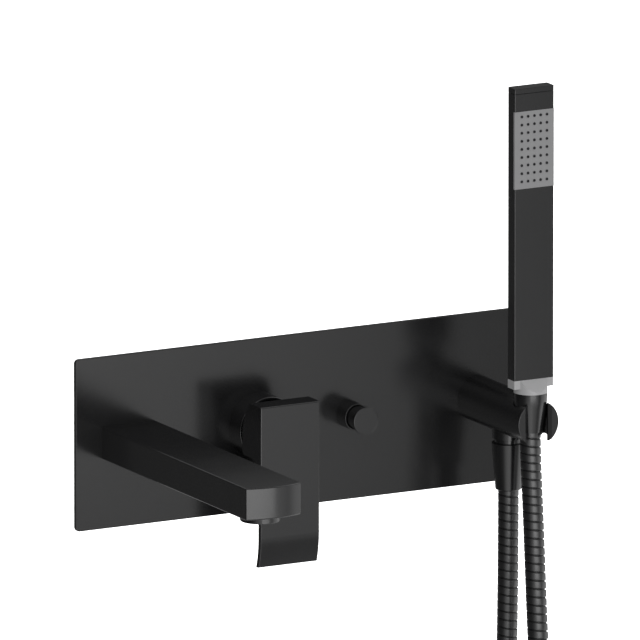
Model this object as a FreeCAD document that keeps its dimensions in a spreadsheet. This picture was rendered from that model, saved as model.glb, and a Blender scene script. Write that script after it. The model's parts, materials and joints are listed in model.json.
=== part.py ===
"""Wall mounted bath faucet with lever mixer, pull diverter, spout, hand shower and hose.

Row frame, millimetres: X to the right along the plate, +Y into the wall, +Z up.  The origin is
the centre of the plate's back face, where it rests on the wall (Y = 0).
"""
import FreeCAD, Part
import Sketcher
import math
import os
import types

from FreeCAD import Vector

doc = FreeCAD.newDocument("bath_faucet")

# ---------------------------------------------------------------- driving dimensions
SIZES = {
    # back plate and its seal
    "plate_width": 350.0, "plate_height": 120.0, "plate_thick": 3.0, "plate_corner": 3.0,
    "plate_edge": 0.5, "seal_inset": 5.0, "seal_width": 6.0, "seal_depth": 1.5,
    # places of the four fittings along the plate
    "spout_x": -134.0, "mixer_x": -35.0, "diverter_x": 35.0, "shower_x": 135.0,
    # spout
    "spout_width": 42.0, "spout_height": 22.2, "spout_side": 208.6, "spout_crown": 3.8,
    "spout_edge": 0.9, "channel_width": 24.0, "channel_height": 9.0, "aerator_reach": 189.5,
    "aerator_lip_radius": 13.7, "aerator_lip": 5.6, "aerator_thread_radius": 11.6,
    "aerator_thread": 7.5, "aerator_bore_radius": 10.4, "neck_radius": 7.9, "port_radius": 10.35,
    "nipple_bore": 5.5, "nipple_reach": 22.0, "fit_gap": 0.05,
    # mixer
    "sleeve_radius": 22.5, "sleeve_length": 16.5, "sleeve_bore": 20.9, "sleeve_rim": 0.8,
    "sleeve_tail_radius": 20.5, "sleeve_tail_bore": 18.0, "cartridge_radius": 17.5,
    "neck_shoulder": 9.0, "cartridge_neck": 13.5, "cartridge_front": -9.0, "carrier_radius": 11.4,
    "disc_chamber": 14.5, "disc_plane": 31.0, "cartridge_end": 43.6, "pivot_depth": 8.0,
    "ball_depth": 20.0, "ball_radius": 2.5, "stem_side": 8.0, "stem_front": -36.0,
    # lever
    "lever_width": 45.5, "lever_top": 23.4, "lever_bottom": -89.0, "lever_face": 46.7,
    "lever_top_depth": 16.0, "lever_depth": 26.5, "lever_back_start": -3.0, "lever_heel": -14.2,
    "lever_heel_radius": 3.5, "lever_web_radius": 10.5, "lever_blade": 3.3,
    "lever_curve_start": -68.0, "lever_curve_shift": 3.3, "lever_edge": 0.9,
    # diverter
    "diverter_sleeve_radius": 9.5, "diverter_sleeve_bore": 8.6, "diverter_sleeve": 13.0,
    "diverter_rim": 0.5, "diverter_guide": 7.9, "knob_guide_radius": 7.6, "knob_step": -14.0,
    "knob_face": 25.6, "knob_disc": 1.8, "knob_neck_radius": 8.0, "knob_neck_end": -8.0,
    "spindle_radius": 3.0, "spindle_end": 39.5, "diverter_bore": 8.5, "diverter_chamber": 53.5,
    "piston_radius": 8.2, "piston_start": 36.0, "piston_length": 8.0, "ring_radius": 1.0,
    # hand shower outlet and holder
    "holder_radius": 15.7, "holder_length": 87.9, "seat_reach": 76.2, "slot_width": 16.7,
    "slot_bevel": 2.0, "seat_gap": 0.3, "seat_bore": 11.7, "seat_ledge": 3.0,
    "holder_edge": 0.6, "outlet_reach": 44.7, "stub_radius": 11.25,
    "stub_bottom": -18.3, "groove_radius": 9.6, "groove_bottom": -21.0, "stub_end": -32.0,
    "water_bore": 5.5,
    # hose and its nuts
    "hose_radius": 7.15, "lower_nut_top": -21.8, "lower_nut_bottom": -54.6,
    "lower_nut_top_radius": 11.5, "lower_nut_bottom_radius": 9.1, "lower_nut_round": 1.2,
    "upper_nut_top": 19.9, "upper_nut_bottom": -7.5, "upper_nut_top_radius": 11.4,
    "upper_nut_bottom_radius": 8.4, "upper_nut_cone_top": 13.5, "upper_nut_blend": 4.0,
    "hose_bore": 7.45, "hose_thread_radius": 9.3,
    # hand shower
    "hand_width": 30.4, "hand_depth": 9.8, "hand_bottom": 29.7, "hand_top": 233.6,
    "hand_cap": 3.8, "cap_gap": 0.35, "hand_wall": 1.6, "hand_edge": 0.6, "connector_radius": 11.6,
    "connector_block": 6.0, "spray_below_top": 16.3, "spray_height": 53.9, "spray_thick": 1.6,
    "jet_radius": 0.95, "jet_pitch_x": 4.85, "jet_pitch_z": 5.65, "jet_first": 3.6,
    "jet_stand": 0.35,
    # concealed brass body, wall side
    "housing_back": 60.0, "mixer_housing": 27.0, "diverter_housing": 17.0, "boss_radius": 14.0,
    "pipe_radius": 8.0, "port_pipe_radius": 10.0, "gallery_radius": 4.0, "upper_gallery": 24.0,
    "upper_gallery_depth": 28.0, "mixed_gallery": 8.0, "rear_gallery_depth": 50.0,
    "seat_offset": 8.0, "seat_drop": -5.0,
    "inlet_offset": 20.0, "inlet_depth": 49.0, "inlet_top": -40.0, "inlet_bottom": -58.0,
    "inlet_radius": 13.5, "inlet_thread_radius": 9.3, "inlet_thread": 14.0,
    "bracket_width": 236.0, "bracket_height": 76.0, "bracket_thick": 2.5,
    "bracket_pitch_x": 210.0, "bracket_pitch_z": 60.0, "bracket_hole": 3.3,
    "lug_x": 85.0, "lug_radius": 6.5, "lug_screw": 2.5, "lug_floor": 53.0,
}


class Size:
    """A length with the spreadsheet expression that drives it."""

    def __init__(self, value, text):
        self.value = value
        self.text = text

    @staticmethod
    def of(other):
        return other if isinstance(other, Size) else Size(float(other), repr(float(other)))

    def joined(self, other, sign, value):
        return Size(value, f"({self.text} {sign} {other.text})")

    def __add__(self, other):
        other = Size.of(other)
        return self.joined(other, "+", self.value + other.value)

    def __sub__(self, other):
        other = Size.of(other)
        return self.joined(other, "-", self.value - other.value)

    def __mul__(self, other):
        other = Size.of(other)
        return self.joined(other, "*", self.value * other.value)

    def __truediv__(self, other):
        other = Size.of(other)
        return self.joined(other, "/", self.value / other.value)

    def __radd__(self, other):
        return Size.of(other) + self

    def __rsub__(self, other):
        return Size.of(other) - self

    def __rmul__(self, other):
        return Size.of(other) * self

    def __neg__(self):
        return Size(-self.value, f"(0 - {self.text})")


def make_sheet():
    """The spreadsheet: names in column A, plain numbers with aliases in column B."""
    sheet = doc.addObject("Spreadsheet::Sheet", "Sizes")
    for row, (name, value) in enumerate(SIZES.items(), start=1):
        sheet.set(f"A{row}", name)
        sheet.set(f"B{row}", str(value))
        sheet.setAlias(f"B{row}", name)
    doc.recompute()
    return types.SimpleNamespace(**{n: Size(float(sheet.get(n)), f"Sizes.{n}") for n in SIZES})


dim = make_sheet()
PARTS = []


# ---------------------------------------------------------------- building blocks
def bind(thing, prop, size):
    """Drive one property from the sheet."""
    size = Size.of(size)
    if "." not in prop:
        setattr(thing, prop, size.value)
    thing.setExpression(prop, size.text)


def place(thing, x=0, y=0, z=0, along="Y"):
    """Put a piece at x, y, z; its own Y axis lies along the row's Y, Z or X axis."""
    turn = {
        "Y": FreeCAD.Rotation(),
        "Z": FreeCAD.Rotation(Vector(1, 0, 0), 90),
        "X": FreeCAD.Rotation(Vector(0, 0, 1), -90),
    }[along]
    spot = [Size.of(v) for v in (x, y, z)]
    thing.Placement = FreeCAD.Placement(Vector(*[v.value for v in spot]), turn)
    for letter, size in zip("xyz", spot):
        thing.setExpression(f"Placement.Base.{letter}", size.text)
    return thing


def keep(thing, label):
    """Name a finished sub-part and put it on the list to write."""
    thing.Label = label
    PARTS.append(thing)
    return thing


def box(x, y, z):
    """A box between the given (low, high) pairs."""
    block = doc.addObject("Part::Box", "Block")
    for prop, (low, high) in zip(("Length", "Width", "Height"), (x, y, z)):
        bind(block, prop, Size.of(high) - Size.of(low))
    return place(block, x[0], y[0], z[0])


ROD_TURN = {
    "X": FreeCAD.Rotation(Vector(0, 1, 0), 90),
    "Y": FreeCAD.Rotation(Vector(1, 0, 0), -90),
    "Z": FreeCAD.Rotation(),
}


def lay(thing, axis, start, across):
    """Lay a primitive whose own axis is Z along a row axis, from start, at (a, b) across."""
    spot = list(across)
    spot.insert("XYZ".index(axis), start)
    place(thing, *spot)
    thing.Placement = FreeCAD.Placement(thing.Placement.Base, ROD_TURN[axis])
    return thing


def rod(axis, start, end, across, radius):
    """A cylinder along a row axis; across holds its two other coordinates in X, Y, Z order."""
    bar = doc.addObject("Part::Cylinder", "Rod")
    bind(bar, "Radius", radius)
    bind(bar, "Height", Size.of(end) - Size.of(start))
    return lay(bar, axis, start, across)


def cone(start, end, across, start_radius, end_radius):
    """A cone along Z."""
    taper = doc.addObject("Part::Cone", "Taper")
    bind(taper, "Radius1", start_radius)
    bind(taper, "Radius2", end_radius)
    bind(taper, "Height", Size.of(end) - Size.of(start))
    return lay(taper, "Z", start, across)


def ring(axis, middle, across, major, minor):
    """A torus around a row axis."""
    loop = doc.addObject("Part::Torus", "Loop")
    bind(loop, "Radius1", major)
    bind(loop, "Radius2", minor)
    return lay(loop, axis, middle, across)


def fuse(pieces):
    whole = doc.addObject("Part::MultiFuse", "Fuse")
    whole.Shapes = list(pieces)
    whole.Refine = True
    return whole


def cut(base, tools):
    """Base minus tools."""
    tools = list(tools)
    left = doc.addObject("Part::Cut", "Cut")
    left.Base = base
    left.Tool = tools[0] if len(tools) == 1 else fuse(tools)
    left.Refine = True
    return left


def common(first, second):
    shared = doc.addObject("Part::Common", "Common")
    shared.Base = first
    shared.Tool = second
    return shared


def arc_middle(start, end, radius):
    """Middle of the short arc; a positive radius bulges to the right of start-to-end."""
    chord = Vector(end[0] - start[0], end[1] - start[1], 0)
    rise = abs(radius) - math.sqrt(radius * radius - chord.Length * chord.Length / 4)
    right = Vector(chord.y, -chord.x, 0).normalize()
    centre = Vector((start[0] + end[0]) / 2, (start[1] + end[1]) / 2, 0)
    return centre + right * math.copysign(rise, radius)


def body_sketch(body, name, role, outline, lift=0):
    """A closed sketch on one of the body's origin planes.

    Each outline entry is (across, up) or (across, up, radius); the radius belongs to the arc that
    arrives at that point.  Every corner is held by two distances driven from the sheet.
    """
    sketch = body.newObject("Sketcher::SketchObject", name)
    plane = [item for item in body.Origin.OriginFeatures if item.Role == role][0]
    sketch.AttachmentSupport = [(plane, "")]
    sketch.MapMode = "FlatFace"
    bind(sketch, "AttachmentOffset.Base.z", lift)
    corners = [(Size.of(p[0]), Size.of(p[1])) for p in outline]
    spots = [(across.value, up.value) for across, up in corners]
    ends = []
    for index, entry in enumerate(outline):
        start = Vector(*spots[index - 1], 0)
        end = Vector(*spots[index], 0)
        if len(entry) == 3:
            middle = arc_middle(spots[index - 1], spots[index], Size.of(entry[2]).value)
            forward = (middle - start).cross(end - middle).z > 0
            first, last = (start, end) if forward else (end, start)
            edge = sketch.addGeometry(Part.Arc(first, middle, last), False)
        else:
            edge = sketch.addGeometry(Part.LineSegment(start, end), False)
            forward = True
        ends.append((edge, 1 if forward else 2, 2 if forward else 1))
    hold = []
    for index, (edge, _, last) in enumerate(ends):
        after, first, _ = ends[(index + 1) % len(ends)]
        sketch.addConstraint(Sketcher.Constraint("Coincident", edge, last, after, first))
        for kind, size, axis in zip(("DistanceX", "DistanceY"), corners[index], (-2, -1)):
            if abs(size.value) < 1e-9:
                sketch.addConstraint(Sketcher.Constraint("PointOnObject", edge, last, axis))
            else:
                held = Sketcher.Constraint(kind, -1, 1, edge, last, size.value)
                hold.append((sketch.addConstraint(held), size))
        if len(outline[index]) == 3:
            bend = Size.of(outline[index][2])
            bend = bend if bend.value > 0 else -bend
            held = Sketcher.Constraint("Radius", edge, bend.value)
            hold.append((sketch.addConstraint(held), bend))
    for number, size in hold:
        sketch.setExpression(f"Constraints[{number}]", size.text)
    return sketch


def turned(outline, x=0, y=0, z=0, along="Y"):
    """A lathe part: outline of (radius, distance along the axis), turned a full circle."""
    body = doc.addObject("PartDesign::Body", "Turned")
    sketch = body_sketch(body, "Profile", "XY_Plane", outline)
    spin = body.newObject("PartDesign::Revolution", "Spin")
    spin.Profile = sketch
    spin.ReferenceAxis = (sketch, ["V_Axis"])
    spin.Angle = 360
    return place(body, x, y, z, along)


def tube(outer, inner, start, end, **where):
    """A plain ring or tube."""
    return turned([(inner, start), (outer, start), (outer, end), (inner, end)], **where)


def solid_turned(steps, **where):
    """A lathe part without a bore: steps of (radius, start, end) along the axis."""
    return turned([(0, steps[0][1])] + step_points(steps) + [(0, steps[-1][2])], **where)


def step_points(steps):
    points = []
    for radius, start, end in steps:
        points += [(radius, start), (radius, end)]
    return points


def bored(outer_steps, inner_steps, **where):
    """A lathe part with a stepped outside and a stepped bore."""
    inside = [(radius, at) for radius, at in reversed(step_points(inner_steps))]
    return turned(step_points(outer_steps) + inside, **where)


def extruded(role, outline, length, lift=0, midplane=False):
    """A sketch pulled to a length, both ways if midplane."""
    body = doc.addObject("PartDesign::Body", "Extruded")
    sketch = body_sketch(body, "Profile", role, outline, lift)
    pad = body.newObject("PartDesign::Pad", "Pad")
    pad.Profile = sketch
    pad.SideType = "Symmetric" if midplane else "One side"
    bind(pad, "Length", length)
    return body


def rounded(body, radius, wanted, kind="Fillet"):
    """Round or chamfer those edges of the body's tip for which wanted(edge) is true."""
    doc.recompute()
    base = body.Tip
    names = [f"Edge{i}" for i, edge in enumerate(base.Shape.Edges, start=1) if wanted(edge)]
    if not names:
        raise ValueError(f"no edge to round on {body.Name}")
    dress = body.newObject(f"PartDesign::{kind}", kind)
    dress.Base = (base, names)
    bind(dress, "Radius" if kind == "Fillet" else "Size", radius)
    body.Tip = dress
    return body


def spans(edge, axis):
    """Length of an edge's box along one axis."""
    bound = edge.BoundBox
    return {"X": bound.XLength, "Y": bound.YLength, "Z": bound.ZLength}[axis]


def is_flat(edge, axis, at):
    """True if an edge lies in the plane axis = at."""
    low, high = {
        "X": (edge.BoundBox.XMin, edge.BoundBox.XMax),
        "Y": (edge.BoundBox.YMin, edge.BoundBox.YMax),
        "Z": (edge.BoundBox.ZMin, edge.BoundBox.ZMax),
    }[axis]
    return abs(low - at) < 0.01 and abs(high - at) < 0.01


# ---------------------------------------------------------------- plate
def make_plate():
    front = -dim.plate_thick
    half_x = dim.plate_width / 2
    half_z = dim.plate_height / 2
    outline = [(-half_x, -half_z), (half_x, -half_z), (half_x, half_z), (-half_x, half_z)]
    sheet = extruded("XZ_Plane", outline, dim.plate_thick)
    rounded(sheet, dim.plate_corner, lambda edge: spans(edge, "Y") > 1)
    rounded(sheet, dim.plate_edge, lambda edge: is_flat(edge, "Y", front.value))
    holes = [
        rod("Y", front - 1, 1, (dim.spout_x, 0), dim.neck_radius + 0.3),
        rod("Y", front - 1, 1, (dim.mixer_x, 0), dim.sleeve_tail_radius + 0.2),
        rod("Y", front - 1, 1, (dim.diverter_x, 0), dim.diverter_bore + 0.2),
        rod("Y", front - 1, 1, (dim.shower_x, 0), dim.neck_radius + 0.3),
    ]
    groove = seal_frame(0.0, dim.seal_depth + 0.5)
    keep(cut(sheet, holes + [groove]), "back_plate")
    keep(seal_frame(0.0, dim.seal_depth), "plate_seal")


def seal_frame(slack, depth):
    """The foam strip's frame behind the plate, from its groove floor towards the wall."""
    start = -dim.seal_depth
    out_x = dim.plate_width / 2 - dim.seal_inset
    out_z = dim.plate_height / 2 - dim.seal_inset
    in_x = out_x - dim.seal_width
    in_z = out_z - dim.seal_width
    outer = box((-out_x, out_x), (start, start + depth), (-out_z, out_z))
    inner = box((-in_x, in_x), (start - 1, start + depth + 1), (-in_z, in_z))
    return cut(outer, [inner])


# ---------------------------------------------------------------- concealed brass body
def make_manifold():
    back = dim.housing_back
    rear = dim.rear_gallery_depth
    shower_y = rear - 4
    high = dim.upper_gallery
    high_y = dim.upper_gallery_depth
    pipe = dim.pipe_radius
    water = dim.gallery_radius
    inlets = [dim.mixer_x - dim.inlet_offset, dim.mixer_x + dim.inlet_offset]
    seats = [dim.mixer_x - dim.seat_offset, dim.mixer_x + dim.seat_offset]
    ports = [dim.spout_x, dim.shower_x]
    lugs = [(-dim.lug_x, high), (dim.lug_x, Size.of(0))]
    castings = [
        rod("Y", 4, back, (dim.mixer_x, 0), dim.mixer_housing),
        rod("Y", 6, back, (dim.diverter_x, 0), dim.diverter_housing),
        rod("X", dim.spout_x, dim.diverter_x, (high_y, high), pipe),
        rod("X", dim.diverter_x, dim.shower_x, (shower_y, 0), pipe),
    ]
    castings += [rod("Z", 0, high + 11, (x, high_y), pipe + 1.5) for x in (dim.spout_x, dim.diverter_x)]
    for x, end in zip(ports, (high_y + 11, rear + 6)):
        castings.append(rod("Y", 12, end, (x, 0), dim.boss_radius))
    castings += [rod("Z", dim.inlet_top, 0, (x, dim.inlet_depth), dim.port_pipe_radius) for x in inlets]
    for start, spot in zip((high_y, shower_y), lugs):
        castings.append(rod("Y", start, back, spot, dim.lug_radius))
    drillings = [
        rod("Y", 3, 12, (dim.mixer_x, 0), dim.cartridge_radius + 2.5),
        rod("Y", 3, 44, (dim.mixer_x, 0), dim.cartridge_radius + 0.2),
        rod("Y", 5, dim.diverter_chamber, (dim.diverter_x, 0), dim.diverter_bore),
        rod("X", dim.mixer_x - 1, dim.diverter_x, (rear, dim.mixed_gallery), water),
        rod("Y", 43, rear + 1, (dim.mixer_x, dim.mixed_gallery), water - 0.5),
        rod("X", dim.spout_x, dim.diverter_x, (high_y, high), water),
        rod("X", dim.diverter_x, dim.shower_x, (shower_y, 0), water),
        rod("Y", 30, shower_y + 2, (dim.shower_x, 0), dim.nipple_bore),
    ]
    drillings += [rod("Z", 0, high + 6, (x, high_y), water + 0.6) for x in (dim.spout_x, dim.diverter_x)]
    drillings += [rod("Y", 11, 32, (x, 0), dim.port_radius + dim.fit_gap) for x in ports]
    for x, seat in zip(inlets, seats):
        low, far = (x, seat) if x.value < seat.value else (seat, x)
        drillings.append(rod("Z", dim.inlet_top - 1, -30, (x, dim.inlet_depth), dim.neck_radius))
        drillings.append(rod("Z", -31, 0, (x, dim.inlet_depth), water))
        drillings.append(rod("X", low, far, (dim.inlet_depth, dim.seat_drop), water - 1))
        drillings.append(rod("Y", 43, dim.inlet_depth + 1, (seat, dim.seat_drop), water - 0.6))
    drillings += [rod("Y", dim.lug_floor, back + 1, spot, dim.lug_screw) for spot in lugs]
    keep(cut(fuse(castings), drillings), "manifold_body")
    make_bracket(back, lugs)
    for label, x in zip(("hot_inlet", "cold_inlet"), inlets):
        make_inlet(label, x)


def make_bracket(back, lugs):
    far = back + dim.bracket_thick
    half_x = dim.bracket_width / 2
    half_z = dim.bracket_height / 2
    pitch_x = dim.bracket_pitch_x / 2
    pitch_z = dim.bracket_pitch_z / 2
    plate = box((-half_x, half_x), (back, far), (-half_z, half_z))
    spots = [(x, z) for x in (-pitch_x, pitch_x) for z in (-pitch_z, pitch_z)]
    holes = [rod("Y", back - 1, far + 1, spot, dim.bracket_hole) for spot in spots]
    holes += [rod("Y", back - 1, far + 1, spot, dim.lug_screw + 0.2) for spot in lugs]
    keep(cut(plate, holes), "wall_bracket")
    screws = []
    for spot in lugs:
        shank = rod("Y", dim.lug_floor + 0.5, far, spot, dim.lug_screw - dim.fit_gap)
        head = rod("Y", far, far + 2.5, spot, dim.lug_screw * 2)
        drive = rod("Y", far + 1, far + 3, spot, dim.lug_screw * 0.6)
        screws.append(cut(fuse([shank, head]), [drive]))
    keep(group(screws), "bracket_screws")


def group(pieces):
    """Separate solids kept in one node."""
    bundle = doc.addObject("Part::Compound", "Group")
    bundle.Links = list(pieces)
    return bundle


def make_inlet(label, x):
    """A socket for the supply pipe, screwed up into the concealed body."""
    mouth = dim.inlet_bottom
    outer = [(dim.inlet_radius, mouth, dim.inlet_top), (dim.neck_radius - 0.05, dim.inlet_top, -31)]
    inner = [
        (dim.inlet_thread_radius, mouth, mouth + dim.inlet_thread),
        (dim.gallery_radius, mouth + dim.inlet_thread, -31),
    ]
    keep(bored(outer, inner, x=x, y=dim.inlet_depth, along="Z"), label)


# ---------------------------------------------------------------- spout
def make_spout():
    front = -dim.plate_thick
    half = dim.spout_width / 2
    tip = front - dim.spout_side
    crown_radius = (half * half + dim.spout_crown * dim.spout_crown) / (2 * dim.spout_crown)
    outline = [(-half, front), (-half, tip), (half, tip, crown_radius), (half, front)]
    bar = extruded("XY_Plane", outline, dim.spout_height, midplane=True)
    rounded(bar, dim.spout_edge, lambda edge: not is_flat(edge, "Y", front.value))
    place(bar, x=dim.spout_x)
    drop_y = front - dim.aerator_reach
    under = -dim.spout_height / 2
    half_channel = dim.channel_width / 2
    rise = dim.channel_height / 2
    seat = dim.aerator_thread_radius + dim.fit_gap
    hollows = [
        rod("Y", front - dim.nipple_reach - 1, 0, (dim.spout_x, 0), dim.neck_radius + dim.fit_gap),
        rod("Y", front - 3, 0, (dim.spout_x, 0), dim.neck_radius + 2),
        box((dim.spout_x - half_channel, dim.spout_x + half_channel),
            (drop_y, front - dim.nipple_reach), (-rise, rise)),
        rod("Z", under - 1, under + dim.aerator_thread + 1, (dim.spout_x, drop_y), seat),
        rod("Z", under + dim.aerator_thread, rise, (dim.spout_x, drop_y), seat),
        rod("Z", under - 1, -dim.neck_radius, (dim.spout_x, front - 12), 2),
    ]
    keep(cut(bar, hollows), "spout_body")
    nipple_outer = [
        (dim.neck_radius, front - dim.nipple_reach, 3), (12, 3, 8), (dim.port_radius, 8, 30),
    ]
    nipple_inner = [(dim.nipple_bore, front - dim.nipple_reach, 30)]
    keep(bored(nipple_outer, nipple_inner, x=dim.spout_x), "spout_nipple")
    seal = ring("Y", front - 1.5, (dim.spout_x, 0), dim.neck_radius + 1, 0.95)
    keep(seal, "spout_o_ring")
    screw = rod("Z", under + 0.2, -dim.neck_radius - 0.1, (dim.spout_x, front - 12), 1.95)
    socket = rod("Z", under, under + 1.6, (dim.spout_x, front - 12), 1)
    keep(cut(screw, [socket]), "spout_grub_screw")
    make_aerator(drop_y, under)


def make_aerator(y, under):
    where = {"x": dim.spout_x, "y": y, "along": "Z"}
    bottom = under - dim.aerator_lip
    top = under + dim.aerator_thread
    outer = [(dim.aerator_lip_radius, bottom, under), (dim.aerator_thread_radius, under, top)]
    inner = [(dim.aerator_bore_radius, bottom, top)]
    shell = bored(outer, inner, **where)
    rounded(shell, 0.4, lambda edge: spans(edge, "X") > 26 and abs(edge.BoundBox.YMax - bottom.value) < 0.01)
    keep(shell, "aerator_housing")
    mesh_radius = dim.aerator_bore_radius - 0.1
    core = rod("Z", bottom + 1, top - 0.5, (dim.spout_x, y), mesh_radius)
    pitch = 2.7
    jets = []
    for row in range(-3, 4):
        for column in range(-3, 4):
            shift_x = (column + 0.5 * (row % 2)) * pitch
            shift_y = row * pitch * 0.866
            if math.hypot(shift_x, shift_y) < 8.2:
                across = (dim.spout_x + shift_x, y + shift_y)
                jets.append(rod("Z", bottom, top, across, 1.0))
    keep(cut(core, jets), "aerator_insert")
    keep(tube(dim.aerator_thread_radius, 7.5, top + 0.05, top + 1.5, **where), "aerator_washer")


# ---------------------------------------------------------------- mixer and lever
def make_mixer():
    front = -dim.plate_thick
    rim = front - dim.sleeve_length
    where = {"x": dim.mixer_x}
    tail_end = 1.8
    sleeve = turned([
        (dim.sleeve_bore, rim), (dim.sleeve_radius - dim.sleeve_rim, rim),
        (dim.sleeve_radius, rim + dim.sleeve_rim, dim.sleeve_rim), (dim.sleeve_radius, front),
        (dim.sleeve_tail_radius, front), (dim.sleeve_tail_radius, tail_end),
        (dim.sleeve_tail_bore, tail_end), (dim.sleeve_tail_bore, front - 2),
        (dim.sleeve_bore, front - 2),
    ], **where)
    keep(sleeve, "cartridge_sleeve")
    seal_outer = dim.sleeve_tail_radius + 2.5
    keep(tube(seal_outer, dim.sleeve_tail_radius + 0.05, 0, 1.2, **where), "sleeve_seal")
    shoulder = dim.neck_shoulder
    nut_outer = [(17, -4, 2), (dim.cartridge_radius + 2.4, 2, shoulder)]
    nut_inner = [(dim.cartridge_neck + 0.2, -4, shoulder)]
    keep(bored(nut_outer, nut_inner, **where), "cartridge_nut")
    make_cartridge(where)
    make_lever(front)


def make_cartridge(where):
    start = dim.cartridge_front
    bore = dim.carrier_radius + 0.1
    floor = dim.disc_plane + 5
    end = dim.cartridge_end
    cup_outer = [(dim.cartridge_neck, start, dim.neck_shoulder),
                 (dim.cartridge_radius, dim.neck_shoulder, end)]
    cup_inner = [(bore, start, 15.8), (dim.disc_chamber, 15.8, floor), (9, floor, floor + 2)]
    cup = bored(cup_outer, cup_inner, **where)
    base = tube(dim.disc_chamber + 0.5, 9.0, floor + 2, end, **where)
    plug = rod("Y", floor, end, (dim.mixer_x, 0), 9.2)
    water_spots = [(dim.mixer_x + side * dim.seat_offset, dim.seat_drop) for side in (-1, 1)]
    water_spots.append((dim.mixer_x, dim.mixed_gallery))
    ways = [rod("Y", floor - 1, end + 1, spot, 3) for spot in water_spots]
    recesses = [rod("Y", end - 1, end + 1, spot, 4.4) for spot in water_spots]
    keep(cut(fuse([cup, base, plug]), ways + recesses), "cartridge_body")
    seals = [ring("Y", end - 0.3, spot, 3.7, 0.65) for spot in water_spots]
    keep(group(seals), "cartridge_seals")
    fixed = rod("Y", dim.disc_plane, floor, (dim.mixer_x, 0), dim.disc_chamber - 0.1)
    ports = [rod("Y", dim.disc_plane - 1, floor + 1, spot, 3) for spot in water_spots]
    keep(cut(fixed, ports), "fixed_disc")
    slider_radius = 9.8
    slider = rod("Y", dim.disc_plane - 4.5, dim.disc_plane - 0.02, (dim.mixer_x, 0), slider_radius)
    mixing = rod("Y", dim.disc_plane - 2, dim.disc_plane, (dim.mixer_x, 0), 6.5)
    keep(cut(slider, [mixing]), "moving_disc")
    driver = rod("Y", dim.disc_plane - 14.5, dim.disc_plane - 4.5, (dim.mixer_x, 0), slider_radius)
    pocket = rod("Y", dim.disc_plane - 15.5, dim.disc_plane - 7, (dim.mixer_x, 0), dim.ball_radius + 0.5)
    keep(cut(driver, [pocket]), "disc_driver")
    carrier_end = 15.5
    turret = rod("Y", start + 0.2, carrier_end, (dim.mixer_x, 0), dim.carrier_radius)
    half_slot = dim.stem_side / 2 + 0.35
    stem_slot = box((dim.mixer_x - half_slot, dim.mixer_x + half_slot), (start - 1, carrier_end + 1),
                    (-half_slot - 3, 12.5))
    pin_hole = rod("X", dim.mixer_x - 9, dim.mixer_x + 9, (dim.pivot_depth, 0), 1.5)
    keep(cut(turret, [stem_slot, pin_hole]), "cartridge_carrier")
    pin = rod("X", dim.mixer_x - 9, dim.mixer_x + 9, (dim.pivot_depth, 0), 1.5)
    keep(pin, "stem_pin")
    half = dim.stem_side / 2
    bar = box((dim.mixer_x - half, dim.mixer_x + half), (dim.stem_front, dim.pivot_depth + 4), (-half, half))
    finger = rod("Y", dim.pivot_depth + 3, dim.ball_depth, (dim.mixer_x, 0), 1.8)
    ball = doc.addObject("Part::Sphere", "Ball")
    bind(ball, "Radius", dim.ball_radius)
    place(ball, x=dim.mixer_x, y=dim.ball_depth)
    eye = rod("X", dim.mixer_x - 5, dim.mixer_x + 5, (dim.pivot_depth, 0), 1.55)
    keep(cut(fuse([bar, finger, ball]), [eye]), "cartridge_stem")


def make_lever(front):
    """Side profile in (Y, Z): thick head over the cartridge, thin blade curving back at its end."""
    face = front - dim.lever_face
    back = face + dim.lever_depth
    top_back = face + dim.lever_top_depth
    blade = face + dim.lever_blade
    heel = dim.lever_heel
    heel_round = dim.lever_heel_radius
    web = dim.lever_web_radius
    shift = dim.lever_curve_shift
    fall = dim.lever_top - dim.lever_back_start
    step = dim.lever_depth - dim.lever_top_depth
    back_radius = (step * step + fall * fall) / (2 * step)
    drop = dim.lever_curve_start - dim.lever_bottom
    curve_radius = (shift * shift + drop * drop) / (2 * shift)
    profile = [
        (face, dim.lever_top),
        (face, dim.lever_curve_start),
        (face + shift, dim.lever_bottom, curve_radius),
        (blade + shift, dim.lever_bottom),
        (blade, dim.lever_curve_start, -curve_radius),
        (blade, heel - web),
        (blade + web, heel, -web),
        (back - heel_round, heel),
        (back, heel + heel_round, heel_round),
        (back, dim.lever_back_start),
        (top_back, dim.lever_top, back_radius),
    ]
    blank = extruded("YZ_Plane", profile, dim.lever_width, midplane=True)
    rounded(blank, dim.lever_edge, lambda edge: lever_front_edge(edge, face.value))
    place(blank, x=dim.mixer_x)
    half = dim.stem_side / 2 + 0.05
    socket = box((dim.mixer_x - half, dim.mixer_x + half), (dim.stem_front - 0.5, back + 1), (-half, half))
    screw_y = back - 6
    hole = rod("Z", heel - 1, 0, (dim.mixer_x, screw_y), 2.5)
    keep(cut(blank, [socket, hole]), "lever_handle")
    screw = rod("Z", heel + 1.5, -dim.stem_side / 2, (dim.mixer_x, screw_y), 2.45)
    key = rod("Z", heel + 1, heel + 4.5, (dim.mixer_x, screw_y), 1.25)
    keep(cut(screw, [key]), "lever_set_screw")


def lever_front_edge(edge, face):
    """Outline of the front face, down the curved end and round its foot."""
    bound = edge.BoundBox
    on_face = is_flat(edge, "Y", face)
    foot = dim.lever_bottom.value
    on_end = bound.YMin < face + 0.01 and bound.ZMin < foot + 0.01 and spans(edge, "Z") > 1
    front_foot = is_flat(edge, "Z", foot) and is_flat(edge, "Y", face + dim.lever_curve_shift.value)
    return (on_face and not is_flat(edge, "Z", dim.lever_curve_start.value)) or on_end or front_foot


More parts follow.
